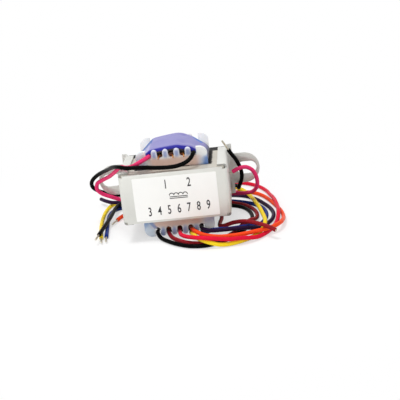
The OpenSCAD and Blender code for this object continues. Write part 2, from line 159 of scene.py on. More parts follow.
def eased_copy(name, width):
    """A copy of a solid with its sharp edges rounded over."""
    begin()
    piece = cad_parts[name].copy()
    piece.data = piece.data.copy()
    for key in list(piece.keys()):
        del piece[key]
    bpy.context.scene.collection.objects.link(piece)
    edit(piece)
    bpy.ops.mesh.remove_doubles(threshold=SOLID_MERGE)
    bpy.ops.mesh.dissolve_limited(angle_limit=math.radians(0.5))
    leave()
    modify(piece, "BEVEL", width=width, segments=2, limit_method="ANGLE", angle_limit=math.radians(40))
    smooth(piece, 45)
    return piece


def linear(colour):
    """A colour written as on a screen, turned to the linear values that shaders use."""
    values = [c / 12.92 if c <= 0.04045 else ((c + 0.055) / 1.055) ** 2.4 for c in colour]
    return (*values, 1.0)


def smooth_line(points, steps, closed=False):
    """Points along the smooth curve through the given ones."""
    line = [Vector(p) for p in points]
    if closed:
        ring = [line[-1], *line, line[0], line[1]]
    else:
        ring = [2 * line[0] - line[1], *line, 2 * line[-1] - line[-2]]
    made = []
    for a, b, c, d in zip(ring, ring[1:], ring[2:], ring[3:]):
        for i in range(steps):
            t = i / steps
            cubic = (2 * a - 5 * b + 4 * c - d) * t * t + (3 * b - a - 3 * c + d) * t ** 3
            made.append((2 * b + (c - a) * t + cubic) / 2)
    return made if closed else made + [line[-1]]


# Shader sums

class Wire:
    """An output of a shader node. A sum written with it adds the Math nodes that it needs."""

    def __init__(self, nodes, socket):
        self.nodes, self.socket = nodes, socket

    def math(self, operation, *values):
        return self.nodes.node("ShaderNodeMath", {"operation": operation}, dict(enumerate(values)))

    def __add__(self, other):
        return self.math("ADD", self, other)

    def __radd__(self, other):
        return self.math("ADD", other, self)

    def __sub__(self, other):
        return self.math("SUBTRACT", self, other)

    def __rsub__(self, other):
        return self.math("SUBTRACT", other, self)

    def __mul__(self, other):
        return self.math("MULTIPLY", self, other)

    def __rmul__(self, other):
        return self.math("MULTIPLY", other, self)

    def __truediv__(self, other):
        return self.math("DIVIDE", self, other)

    def __pow__(self, other):
        return self.math("POWER", self, other)

    def __abs__(self):
        return self.math("ABSOLUTE", self)

    def __floor__(self):
        return self.math("FLOOR", self)

    def sign(self):
        return self.math("SIGN", self)

    def either(self, other):
        return self.math("MAXIMUM", self, other)

    def waves(self, pitch):
        """A sine wave with one crest in every pitch."""
        turn = self * (2 * math.pi / pitch)
        return turn.math("SINE", turn)

    def step(self, low, high):
        """0 below low and 1 above high, with a soft change between; high may be the lower one."""
        settings = {"interpolation_type": "SMOOTHSTEP"}
        return self.nodes.node("ShaderNodeMapRange", settings, {0: self, 1: low, 2: high})


class Nodes:
    """A tree of shader nodes, each of which comes from one method."""

    def __init__(self, tree):
        self.tree = tree

    def join(self, socket, value):
        if isinstance(value, Wire):
            self.tree.links.new(value.socket, socket)
        else:
            socket.default_value = value

    def node(self, kind, settings=None, sockets=None, out=0):
        """Adds a node of any kind: its settings first, then its sockets; gives the output asked for."""
        made = self.tree.nodes.new(kind)
        for name, value in (settings or {}).items():
            setattr(made, name, value)
        for key, value in (sockets or {}).items():
            self.join(made.inputs[key], value)
        return Wire(self, made.outputs[out])

    def seen(self):
        """1 where the camera, a reflection or glass looks, and 0 for the light that falls on the object."""
        kinds = ("Camera", "Glossy", "Transmission")
        camera, glossy, glass = [self.node("ShaderNodeLightPath", out=f"Is {kind} Ray") for kind in kinds]
        return camera.either(glossy.either(glass))

    def blend(self, share, first, second):
        """Mixes two shaders and shows the result."""
        mixed = self.node("ShaderNodeMixShader", sockets={0: share, 1: first, 2: second})
        self.join(self.tree.get_output_node("ALL").inputs["Surface"], mixed)


class Finish(Nodes):
    """A procedural material. Constants go straight to the shader's sockets."""

    def __init__(self, name, **constants):
        self.material = bpy.data.materials.new(name)
        self.material.use_nodes = True
        super().__init__(self.material.node_tree)
        self.shader = self.tree.nodes["Principled BSDF"]
        self.feed(**constants)

    def feed(self, **sockets):
        for name, value in sockets.items():
            self.join(self.shader.inputs[name.replace("_", " ")], value)

    def place(self):
        return self.node("ShaderNodeTexCoord", out="Object")

    def split(self, vector):
        first = self.node("ShaderNodeSeparateXYZ", sockets={0: vector})
        return [Wire(self, part) for part in first.socket.node.outputs]

    def axes(self):
        """The place on the piece along X, Y and Z, in mm."""
        sockets = {0: self.place(), "Scale": 1 / MM}
        return self.split(self.node("ShaderNodeVectorMath", {"operation": "SCALE"}, sockets))

    def facing(self):
        """How far the surface faces along X, Y and Z."""
        return self.split(self.node("ShaderNodeNewGeometry", out="Normal"))

    def noise(self, scale, detail=3.0, rough=0.55, stretch=None):
        vector = self.place()
        if stretch:
            vector = self.node("ShaderNodeMapping", sockets={"Vector": vector, "Scale": stretch})
        sockets = {"Vector": vector, "Scale": scale, "Detail": detail, "Roughness": rough}
        return self.node("ShaderNodeTexNoise", sockets=sockets)

    def mix(self, share, first, second, way="MIX"):
        """Mixes two colours, each an output of a node or a colour as on a screen."""
        first, second = [c if isinstance(c, Wire) else linear(c) for c in (first, second)]
        settings = {"data_type": "RGBA", "blend_type": way}
        return self.node("ShaderNodeMix", settings, {0: share, 6: first, 7: second}, out=2)

    def shade(self, colour, low, high, amount):
        """A colour made darker or lighter by a value from 0 to 1."""
        level = self.node("ShaderNodeMapRange", sockets={0: amount, 3: low, 4: high})
        grey = self.node("ShaderNodeCombineColor", sockets={0: level, 1: level, 2: level})
        return self.mix(1.0, colour, grey, "MULTIPLY")

    def bump(self, height, strength, distance):
        sockets = {"Strength": strength, "Distance": distance, "Height": height}
        self.feed(Normal=self.node("ShaderNodeBump", sockets=sockets))


# Finishes. The places of their stains and shades on the part are in mm.

SHEET_PITCH = 0.5
WIRE_PITCH = 0.32
TAPE_PITCH = 0.6


def plated_sheet(colours):
    """Bright plated steel sheet, satin, with faint rolling lines, handling smudges, the lips' front ends
    darkened to grey, and painted shade on the ears.
    """
    finish = Finish("plated_sheet", Metallic=0.35)
    y, across = finish.axes()[1], finish.facing()[1]
    cloud = finish.noise(140, 4)
    grain = finish.noise(900, 2, stretch=(0.08, 1.0, 1.0))
    smudge = finish.noise(60, 5, 0.6).step(0.45, 0.7)
    # Painted shade: the ears, set back behind the body, are darkened.
    shaded_ears = y.step(14.8, 16)
    # The lips' front ends are darkened to grey.
    lip_end = across.step(-0.5, -0.8) * y.step(-16.3, -15.8) * y.step(-14.2, -14.7)
    base = finish.shade(colours.sheet, 0.95, 1.04, cloud)
    base = finish.shade(base, 0.97, 1.02, grain)
    base = finish.shade(base, 1.0, 0.94, smudge)
    base = finish.shade(base, 1.0, 0.8, shaded_ears)
    base = finish.mix(lip_end * 0.55, base, colours.sheet_lip_end)
    finish.feed(Base_Color=base, Roughness=0.36 + 0.1 * cloud + 0.08 * smudge)
    finish.bump(grain * 0.5 + finish.noise(2600, 2) * 0.5, 0.12, 0.00006)
    return finish.material


def core_steel(colours):
    """The cut edges and faces of silicon steel sheets under a thin coat of varnish, with painted shade in
    varnish colour along the edges of the windows.
    """
    finish = Finish("core_steel", Specular_IOR_Level=0.05)
    x, y, z = finish.axes()
    cloud = finish.noise(220, 4)
    stain = finish.noise(480, 3).step(0.62, 0.75)
    seam = z.waves(SHEET_PITCH).step(0.55, 0.95)
    # Painted shade: the deep shade in the gap beside the coil is painted along the window edges of the core.
    window_edge_shade = (abs(x) + (cloud - 0.5) * 1.2).step(15.9, 15.3) * y.step(-10.6, -10)
    base = finish.shade(colours.core, 0.86, 1.08, cloud)
    base = finish.mix(stain * 0.35, base, colours.core_rust)
    base = finish.shade(base, 1.0, 0.6, seam)
    base = finish.mix(window_edge_shade, base, colours.varnish)
    finish.feed(Base_Color=base, Metallic=0.3 - 0.3 * window_edge_shade, Roughness=0.42 + 0.2 * cloud)
    finish.bump(cloud * 0.4 - seam, 0.25, 0.0001)
    return finish.material


def varnished_core(colours):
    """Dark baked varnish over the sheets that close the core."""
    finish = Finish("varnished_core", Specular_IOR_Level=0.04)
    cloud = finish.noise(260, 4)
    runs = finish.noise(420, 3, stretch=(1.0, 1.0, 0.25))
    base = finish.mix(runs.step(0.5, 0.75) * 0.5, colours.varnish, colours.varnish_thin)
    finish.feed(Base_Color=base, Roughness=0.3 + 0.3 * cloud)
    finish.bump(runs, 0.2, 0.0001)
    return finish.material


def nylon(colours):
    """Milky nylon: the winding shows through the near comb, and the tape through its teeth and corners;
    painted shade at the left foot.
    """
    finish = Finish("nylon", Subsurface_Weight=0.12, Subsurface_Scale=0.0012,
                    Subsurface_Radius=(1.0, 0.8, 0.7))
    x, y, z = finish.axes()
    cloud = finish.noise(190, 4)
    wave = (cloud - 0.5) * 4
    lift = z - STACK_MIDDLE
    # The lower comb is the upper one turned over, so its sides change places.
    height, side = abs(lift), lift.sign() * x
    near = y.step(-8.5, -9.5)
    middle = (abs(side - 1.2) + wave).step(12.2, 8.6)
    low = (height + wave * 0.6).step(15.2, 13.4)
    tooth_band = (height + wave * 0.3).step(14.6, 15.6) * abs(x).step(10.4, 9.6)
    shoulder = (side + wave).step(8.8, 12.2) * (height + wave).step(16, 11.2)
    corner = (side + wave).step(10.8, 13.2) * (height - (side - 10.5) * 0.7 + wave).step(12.5, 9.8)
    left = (side + wave).step(-9, -11.6) * (height + wave).step(16.6, 12)
    # A cool tint painted on the upper left corner to offset the pink light that the pink lead throws on it.
    cool = (x + wave).step(-10.2, -12.2) * (z + wave).step(30, 31.6)
    low_corner = (x + wave).step(-9.2, -11.2) * (z + wave).step(8.5, 5.5)
    streak = abs(x + 11.9 + (z - 6.2) * 0.85).step(1.2, 0.4) * z.step(7.6, 6.6)
    # Painted shade: the dark gap beside the flange's left foot, just above the core.
    foot = (side + wave).step(-8, -10) * height.step(12.4, 11.2)
    tooth = x / COMB_PITCH + 0.5
    from_slot = abs(tooth - math.floor(tooth) - 0.5)
    heart = (from_slot + wave * 0.02).step(0.26, 0.44) * height.step(17.8, 16.6) * height.step(13.6, 15.4)
    teeth = abs(x).step(9.5, 8.8)
    base = finish.mix(middle * low * near, colours.nylon, colours.nylon_warm)
    stains = (
        (tooth_band, 0.55, colours.nylon_lilac), (shoulder, 0.5, colours.nylon_pale),
        (corner, 0.85, colours.nylon_blue), (left, 0.6, colours.nylon_violet),
        (cool, 0.5, colours.nylon_cool), (low_corner, 0.45, colours.nylon_pale),
        (streak, 0.6, colours.nylon_blue), (foot, 0.75, colours.nylon_foot_shade),
        (heart * teeth, 0.7, colours.nylon_teeth),
    )
    for mask, share, colour in stains:
        base = finish.mix(mask * near * share, base, colour)
    base = finish.shade(base, 0.95, 1.04, finish.noise(520, 3))
    finish.feed(Base_Color=base, Roughness=0.24 + 0.16 * cloud)
    finish.bump(finish.noise(700, 3), 0.08, 0.0001)
    return finish.material


def enamelled_wire(colours):
    """Rows of enamelled copper wire, side by side across the coil, with painted shade on their ends and under
    the edge of the tape.
    """
    finish = Finish("enamelled_wire", Metallic=0.25)
    y, z = finish.axes()[1:]
    across = finish.facing()[1]
    rows = y.waves(WIRE_PITCH) * 0.5 + 0.5
    cloud = finish.noise(300, 3)
    under_tape = (z + (cloud - 0.5) * 0.8).step(33.3, 34.1) * y.step(-7, -9)
    base = finish.mix(cloud.step(0.4, 0.65), colours.wire, colours.wire_dark)
    base = finish.shade(base, 0.55, 1.1, rows)
    # Painted shade on the end faces of the winding, down in the slots.
    base = finish.shade(base, 1.0, 0.55, abs(across).step(0.4, 0.8))
    base = finish.mix(under_tape * 0.92, base, colours.wire_shadow)
    finish.feed(Base_Color=base, Roughness=0.28 + 0.2 * cloud)
    finish.bump(rows, 0.6, 0.0001)
    return finish.material


def tail_wire(colours):
    """The winding's own ends: one thicker wire each, golden under the enamel."""
    finish = Finish("tail_wire", Metallic=0.2)
    cloud = finish.noise(700, 3)
    base = finish.mix(cloud.step(0.45, 0.7), colours.wire_tail, colours.wire)
    finish.feed(Base_Color=base, Roughness=0.25 + 0.2 * cloud)
    return finish.material


def barrier_tape(colours):
    """Film between the windings; its dark brown is painted shade for the slots in which its edge shows."""
    finish = Finish("barrier_tape")
    cloud = finish.noise(240, 3)
    base = finish.shade(colours.barrier, 0.85, 1.05, cloud)
    finish.feed(Base_Color=base, Roughness=0.25 + 0.2 * cloud)
    return finish.material


def film_tape(colours):
    """Blue film tape, azure at its folds, with painted light and shade: a lilac sheen where it lies flat,
    paler on its left slope, and deep blue shade at the rolled edges and down in the windows.
    """
    finish = Finish("film_tape", Specular_IOR_Level=0.14)
    along, across, up = finish.facing()
    x, y, z = finish.axes()
    cloud = finish.noise(130, 4)
    streak = finish.noise(420, 3, stretch=(0.25, 1.0, 0.25))
    wave = (cloud - 0.5) * 0.25
    ragged = (streak - 0.5) * 2
    # Painted sheen: where the tape lies flat it takes the pale lilac of the overhead light; elsewhere it
    # keeps its azure.
    flat = (up + wave).step(0.35, 0.7)
    # Painted sheen: the slope that faces left is paler.
    slope = (along * -1 + wave * 0.5).step(0.35, 0.62)
    # Painted shade: the rolled edges, turned down towards the flanges, are deep blue.
    edge = (abs(across) + wave * 0.8).step(0.3, 0.75)
    # Painted shade: the tape's sides low down in the windows are dark navy.
    sunk_shade = (z + wave * 4).step(32.5, 30)
    beside = x - 9.9
    fold = (abs(beside) + ragged).step(2.4, 1.4) * (y + beside + ragged).step(6, 8)
    rim = (y + ragged * 1.5).step(-1, 5) * (x + ragged * 0.4).step(-8.1, -8.7) * up.step(0.1, 0.3)
    base = finish.mix(flat, colours.tape_side, colours.tape)
    stains = (
        (slope * flat * 0.4, colours.tape_left_sheen), (fold, colours.tape_side), (edge, colours.tape_edge_shade),
        (rim, colours.tape_rim), (sunk_shade, colours.tape_sunk_shade),
    )
    for mask, colour in stains:
        base = finish.mix(mask, base, colour)
    base = finish.shade(base, 0.93, 1.06, streak)
    finish.feed(Base_Color=base, Roughness=0.26 + 0.16 * cloud)
    layers = y.waves(TAPE_PITCH) * edge
    finish.bump(finish.noise(330, 4) + streak * 0.6 + layers * 0.3, 0.22, 0.0003)
    return finish.material


def label_paper(colours):
    """Matt white paper sticker with a faint fibre."""
    finish = Finish("label_paper", Specular_IOR_Level=0.15)
    fibre = finish.noise(1500, 3)
    cloud = finish.noise(120, 4)
    base = finish.shade(colours.paper, 0.96, 1.02, cloud)
    finish.feed(Base_Color=base, Roughness=0.5 + 0.18 * fibre)
    finish.bump(fibre, 0.12, 0.00005)
    return finish.material


def label_ink(colours):
    """Dark print, worn thin in places."""
    finish = Finish("label_ink")
    worn = finish.noise(2200, 3).step(0.62, 0.8)
    base = finish.mix(worn * 0.5, colours.ink, colours.paper)
    finish.feed(Base_Color=base, Roughness=0.45 + 0.2 * worn)
    return finish.material


def pvc(name, colour):
    """Smooth coloured insulation with faint smears along it, and painted shade where it lies in the lower
    comb.
    """
    finish = Finish(name, Specular_IOR_Level=0.02)
    x, y, z = finish.axes()
    cloud = finish.noise(170, 3)
    smear = finish.noise(700, 4, 0.6)
    # Painted shade: the leads are darkened where they lie in the slots of the lower comb.
    slot_shade = y.step(-15.8, -12.8) * y.step(-8, -9.5) * abs(x).step(10.6, 10) * z.step(6.5, 5.5)
    base = finish.shade(colour, 0.86, 1.12, cloud)
    base = finish.shade(base, 1.0, 0.15, slot_shade)
    finish.feed(Base_Color=base, Roughness=0.18 + 0.12 * smear)
    finish.bump(finish.noise(420, 3), 0.06, 0.00012)
    return finish.material


def tinned_wire(colours):
    """Tinned copper strands, copper where the tin is thin."""
    finish = Finish("tinned_wire", Metallic=0.8)
    cloud = finish.noise(900, 3)
    base = finish.mix(cloud.step(0.58, 0.72) * 0.6, colours.tin, colours.tin_copper)
    finish.feed(Base_Color=base, Roughness=0.3 + 0.2 * cloud)
    return finish.material


# Leads

# How far in front of the comb a lead starts, in mm, and the easing of its cut end as a share of its width.
LEAD_START = 0.6
CUT_EASING = 0.1

# A stripped end: its strands, its depth in the insulation and the length of a ring and of a full twist in mm,
# and its width across the grooves as a share.
STRANDS = 7
STRAND_ROOT = 0.6
STRAND_RING = 0.25
STRAND_TWIST = 4.5
GROOVE_WIDTH = 0.74
# The tinned tip: the rise of each ring in mm, and its width as a share of the ring below.
TIP_RINGS = ((0.1, 0.82), (0.08, 0.6), (0.03, 0.4))


def route(slot, z, reach, swing, *points):
    """A lead's points in mm: out of its slot in the comb, and on along the given way."""
    x = slot * COMB_PITCH
    return [(x - swing / 4, COMB_Y - LEAD_START, z), (x + swing, COMB_Y - reach, z), *points]


# Each lead: colour, group, stripped length in mm, and its way.
LEADS = (
    ("black", "", 5.5, route(
        -2, 2, 3.5, 0.2, (-7.3, -17, 1.1), (-4.1, -21.5, 0.9), (0, -26, 0.9), (5.2, -29.6, 0.9),
        (11.4, -30.4, 0.9), (17.3, -27.2, 0.9), (22.5, -22, 0.9), (26, -15.5, 0.9), (28.5, -8, 0.9),
        (29.5, 0, 0.9), (28.5, 8, 0.9), (25.5, 15, 0.9), (20, 19.5, 0.9), (12, 22, 0.9), (3, 24, 0.9),
        (-6, 26, 0.9), (-14, 27.8, 1), (-20.5, 30, 2.1), (-25.6, 32, 2.85), (-29.2, 30.2, 2.8),
        (-30.6, 24.5, 2.7), (-31.1, 15, 2.7), (-31.9, 5, 2.7), (-32.7, -3.5, 2.7), (-33.4, -10, 2.6))),
    ("brown", "", 0.4, route(
        -1, 2, 3.5, 0.1, (-2.9, -17.3, 1.1), (0, -21.4, 0.9), (3.7, -25, 0.9), (8.2, -27.2, 0.9),
        (13, -26.7, 0.9), (17.4, -24, 0.9), (20.5, -20, 0.9), (22.8, -16.6, 1), (25.6, -13.2, 2.4),
        (28.5, -9.8, 2.8), (30.6, -5.3, 1.8), (31.6, 0, 1), (31.2, 6.6, 0.9), (29.2, 13.2, 0.9),
        (26, 18.4, 0.9), (22, 21.9, 1), (17.9, 23.1, 1.8), (14, 21.9, 2.8), (12.4, 18.2, 2.5),
        (13.8, 14, 1.4), (16.2, 9, 0.9), (16.7, 2.5, 0.9), (16.1, -3.5, 0.9), (16.2, -8.2, 1.1),
        (18.2, -10.9, 1.9), (21.9, -12.4, 3.3), (26.4, -15.4, 4.4), (30.5, -19, 4.6), (34.2, -23.4, 4.6),
        (36.9, -26.8, 4.3), (38.3, -28.2, 3.8))),
    ("red", "", 5.5, route(
        0, 2, 3.5, 0.1, (0.9, -18.5, 2.3), (3.3, -23.7, 3), (6.3, -28.5, 4), (9.9, -31.5, 4.5),
        (13.7, -32, 4.1), (17.3, -31.7, 3.4), (20.8, -31.3, 2.85), (24.4, -30.6, 2.7), (28, -28.8, 1.9),
        (31.3, -26.2, 1.1), (34.3, -22.2, 0.9), (36.6, -17.8, 0.9), (38.4, -13, 1), (39.7, -8, 1.5),
        (40.4, -2, 2.7), (40.4, 5, 2.7), (39.8, 13, 2.7), (39, 21, 2.2), (37.8, 29, 1.3), (36.3, 37, 0.9),
        (33, 45, 0.9), (27.3, 52, 0.9), (19, 56, 0.9), (10, 57, 0.9), (0, 55, 0.9), (-8, 51.5, 0.9))),
    ("orange", "", 5.5, route(
        1, 2.6, 3.5, 0.6, (7.1, -18, 2.7), (10.5, -23, 2.7), (16.5, -26.8, 2.75), (23.6, -26.6, 2.75),
        (30.2, -24.4, 2.75), (36.3, -21.3, 2.75), (39.8, -17.2, 2.7), (41.6, -10.8, 1.9), (42.3, -3.5, 1),
        (41.7, 4.5, 0.9), (39.8, 13, 0.9), (37.5, 21.5, 0.9), (34.8, 29, 0.9), (31, 35, 0.9),
        (25.5, 38.3, 0.9), (18, 39.8, 1), (11, 39.3, 1.7), (5, 37.8, 2.7), (-1, 34.2, 2.8),
        (-8, 29.7, 2.75), (-14, 25.5, 2.75), (-19.5, 22, 2.6), (-24, 19.5, 1.8), (-27.3, 17.2, 1),
        (-28.6, 13.5, 0.9))),
    ("yellow", "", 5.5, route(
        1, 0.9, 3.5, 0.1, (5.5, -18, 1.6), (6.6, -22.3, 2.6), (7.9, -26.4, 2.75), (10.2, -29.9, 2.8),
        (13.2, -31.9, 2.3), (16.6, -32, 1.3), (20.4, -31, 0.9), (24.6, -29, 0.9), (28.4, -25.9, 0.9),
        (31.3, -22.3, 1), (33.5, -18.8, 1.9), (34.5, -14.5, 2.75), (34.6, -9, 2.75), (33.9, -2, 2.7),
        (32.9, 6, 2.7), (31.6, 13.5, 2.7), (30.1, 21, 2.7), (28.3, 28.5, 2.7), (25.5, 36, 2.75),
        (21.5, 41, 2.7), (15, 44, 1.7), (6, 45, 1), (-6, 45.5, 0.9), (-18, 45.5, 0.9), (-28, 43.5, 0.9),
        (-33.5, 37, 0.9), (-35.2, 28, 0.9), (-35.4, 19, 0.9), (-35, 10, 0.9), (-34, 0, 0.9),
        (-32.7, -9.5, 0.9))),
    ("purple", "", 1, route(
        2, 2.6, 3, 0, (10.5, -16.3, 2.7), (13.4, -18.6, 2.8), (17, -19.7, 3.1), (21, -20, 3.2),
        (26, -19.1, 2.9), (29.5, -17.2, 1.9), (32.5, -14.6, 1), (35.3, -10.5, 0.9), (37.6, -5, 0.9),
        (38.4, 2, 0.9), (37.4, 9.5, 0.9), (35, 17, 0.9), (31.5, 25, 0.9), (26, 32, 0.9), (18, 35.5, 0.9),
        (8, 36, 0.9), (-6, 36.5, 0.9), (-17, 36.2, 1.1), (-24, 34.9, 2.2), (-29.3, 34, 2.75),
        (-33.2, 35, 2.75), (-36.6, 38.6, 2.7), (-39.4, 43.2, 2.5))),
    ("blue", "", 5.5, route(
        2, 0.88, 3, 0.4, (11.2, -14.8, 1.3), (13.4, -16.6, 2.4), (16.4, -17.8, 2.8), (20.5, -18.1, 2.75),
        (25.5, -17.1, 2.7), (30, -14, 1.9), (33, -9.5, 1), (35, -3, 0.9), (35.4, 4.5, 0.9), (33.8, 12, 0.9),
        (30, 18.5, 0.9), (23.5, 24, 0.9), (16, 27, 0.9), (6, 28, 0.9), (-5, 30, 0.9), (-16, 32.3, 0.9),
        (-25, 32.4, 0.9), (-31, 29, 0.9), (-32.9, 22, 0.9), (-32.6, 13, 0.9), (-31.7, 3, 0.9),
        (-30.7, -8.5, 0.9))),
    ("black", "output_", 5.5, route(
        2, 33.4, 2.4, -0.2, (7.9, -14.4, 32.2), (5.5, -15.6, 30.8), (2, -15.6, 29.8), (-2, -15.2, 29.5),
        (-6.2, -15.3, 29.8), (-10.5, -15.6, 30.4), (-14.6, -15.6, 30.7), (-18.2, -14.7, 30.7),
        (-21.3, -12.3, 30.8), (-24.5, -6.6, 29.5), (-28.3, 1.5, 26.5), (-32.7, 8.2, 23.5),
        (-36, 11.8, 20.7), (-37.5, 13.7, 18.2), (-37.2, 15.6, 15.6), (-35, 17.6, 13.3), (-31.5, 18.7, 11.8),
        (-27.6, 19.2, 10.5), (-20, 20, 9.2), (-10, 20.6, 8.3), (0, 21, 8), (10, 21.6, 8.2), (17, 22.1, 8.6),
        (21, 21.9, 8.9), (23.8, 20.4, 9.2), (24.9, 17.9, 9.4), (24.8, 15.7, 9.6), (25, 13.9, 10.7),
        (25.9, 13, 12.7), (26.7, 12.5, 15.8), (26.3, 11.3, 19.6), (24.9, 9.4, 23.7), (23.2, 7.4, 27),
        (22.3, 6.4, 28.9))),
    ("pink", "output_", 1, route(
        -2, 33.4, 2.2, -0.5, (-11.2, -13.4, 32.8), (-13.7, -13.4, 31.6), (-16.2, -12.3, 30.4),
        (-18.6, -10.8, 29.9), (-21, -9, 29.9), (-23.6, -4.8, 27.4), (-27.7, 3, 23.4), (-32, 9.3, 20.4),
        (-34.7, 12, 18.4), (-35.3, 12.9, 15.6), (-33.6, 13.9, 13.2), (-30.5, 15, 11.3), (-27, 17, 9.2),
        (-21, 19.4, 7.3), (-12, 22, 5.9), (-2, 24.5, 5), (8, 26, 4.6), (16, 26, 4.6), (22, 23.5, 5),
        (26.5, 20, 5.7), (30.4, 16.3, 7.1), (32.6, 13.5, 10.2), (32.8, 12, 14.2), (31.4, 10.7, 18),
        (28.7, 9.5, 20), (25.7, 9.1, 19.8), (22.9, 9, 18.6))),
)


def tube(line, width, roundness=6):
    """A round tube along a line of points in metres, as a mesh with closed ends."""
    begin()
    way = bpy.data.curves.new("way", "CURVE")
    way.dimensions = "3D"
    way.bevel_depth = width / 2
    way.bevel_resolution = roundness
    way.use_fill_caps = True
    spline = way.splines.new("POLY")
    spline.points.add(len(line) - 1)
    for point, place in zip(spline.points, line):
        point.co = (*place, 1.0)
    piece = bpy.data.objects.new("way", way)
    bpy.context.scene.collection.objects.link(piece)
    take(piece)
    bpy.ops.object.convert(target="MESH")
    piece = bpy.context.object
    outward(piece)
    return piece


def insulation(line, width):
    """The coloured tube of a lead, with its cut end slightly rounded over."""
    piece = tube(line, width)
    end, back = line[-1], (line[-2] - line[-1]).normalized()

    def at_cut(part):
        steps = [vert.co - end for vert in part.verts]
        return all(step.length < width and abs(step.dot(back)) < 0.02 * MM for step in steps)

    edit(piece)
    pick(piece, "faces", at_cut)
    bpy.ops.mesh.dissolve_faces()
    pick(piece, "edges", at_cut)
    bpy.ops.mesh.bevel(offset=width * CUT_EASING, segments=2, affect="EDGES")
    leave()
    smooth(piece, 50)
    return piece


def stripped_end(start, along, length, width):
    """Seven twisted strands, dipped in tin to a rounded tip."""
    begin()
    root = min(STRAND_ROOT * MM, length)
    depth = length + root
    bpy.ops.mesh.primitive_cylinder_add(vertices=2 * STRANDS, radius=width / 2, depth=depth,
                                        end_fill_type="NGON")
    piece = bpy.context.object
    rings = max(3, round(depth / (STRAND_RING * MM)))
    edit(piece)
    pick(piece, "edges", lambda e: abs(e.verts[0].co.z - e.verts[1].co.z) > depth / 2)
    bpy.ops.mesh.subdivide(number_cuts=rings)
    corner = 2 * math.pi / STRANDS
    angles = [math.atan2(v.co.y, v.co.x) for v in bmesh.from_edit_mesh(piece.data).verts]
    shift = min(angles) % corner / corner
    pick(piece, "verts", lambda v: abs((math.atan2(v.co.y, v.co.x) / corner - shift) % 1 - 0.5) < 0.2)
    bpy.ops.transform.resize(value=(GROOVE_WIDTH, GROOVE_WIDTH, 1), center_override=(0, 0, 0))
    pick(piece, "faces", lambda f: f.normal.z > 0.9)
    for rise, size in TIP_RINGS:
        bpy.ops.mesh.extrude_region_move(TRANSFORM_OT_translate={"value": (0, 0, rise * MM)})
        bpy.ops.transform.resize(value=(size, size, 1), center_override=(0, 0, depth / 2))
    leave()
    twist = depth / (STRAND_TWIST * MM) * 2 * math.pi
    modify(piece, "SIMPLE_DEFORM", deform_method="TWIST", deform_axis="Z", angle=twist)
    middle = start + along * ((length - root) / 2)
    piece.matrix_world = Matrix.Translation(middle) @ along.to_track_quat("Z", "Y").to_matrix().to_4x4()
    settle(piece)
    smooth(piece, 60)
    return piece


# Coil, in mm

# The finished coil seen from the front: x, and height above the middle of the stack.
COIL_SECTION = (
    (14.1, 0), (14.1, 7), (14.15, 9.7), (14.6, 11.3), (14.1, 12.7), (12.6, 14.3), (10.4, 15.8),
    (6.8, 17.8), (2.7, 19.2), (-2.5, 18.9), (-6.8, 18.3), (-8.2, 18), (-9.3, 17.4), (-11.6, 15.3),
    (-13.9, 13.1), (-14.4, 11.6), (-14.15, 9.7), (-14.1, 7), (-14.1, 0), (-14.1, -7), (-14.1, -9.8),
    (-13.7, -11.6), (-12.2, -13.6), (-8.5, -16), (-3, -17.4), (3, -17.4), (8.5, -16), (12.2, -13.6),
    (13.7, -11.6), (14.1, -9.8), (14.1, -7),
)
COIL_MIDDLE_Y = 0.5
COIL_HALF = 9.1
# The height at which the flanges start to lean, the rise from there to the full roll, and its least share.
LEAN_HEIGHT = 10.4
ROLL_RISE = 3
LEAST_ROLL = 0.25
# Distance in from the edge of the coil, and how far the edge drops there as a share of the roll.
ROLL_RINGS = (
    (0.0, 1.0), (0.06, 0.66), (0.2, 0.4), (0.45, 0.19), (0.75, 0.06), (1.1, 0.0), (2.6, 0.0), (5.5, 0.0),
)
# The winding: its depth, and its clearance under the tape and from the tape's edges.
WINDING_WALL = 1.6
WINDING_DROP = 0.1
WINDING_MARGIN = 0.12
# Soft lumps and dents in the tape: middle, reach and pull.
TAPE_LUMPS = (
    ((4.4, 8, 36.6), 2.6, (0, 0, -0.45)), ((4.6, -4.5, 37), 3.4, (0, 0, -0.4)),
    ((8.4, -8, 35.4), 5, (0, 0, 0.7)), ((11, 9, 33.4), 3.4, (0, 0, -0.4)),
    ((-5, 3, 36.6), 5, (0, 0, 0.25)), ((13.6, 0, 31), 4, (-0.3, 0, 0)),
)
TAIL_WIDTH = 0.5
# The wire tails: the slot that each leaves by, and how far it lies from the middle of it.
TAILS = ((-1, -0.5), (0, 0.5), (1, 0.4))


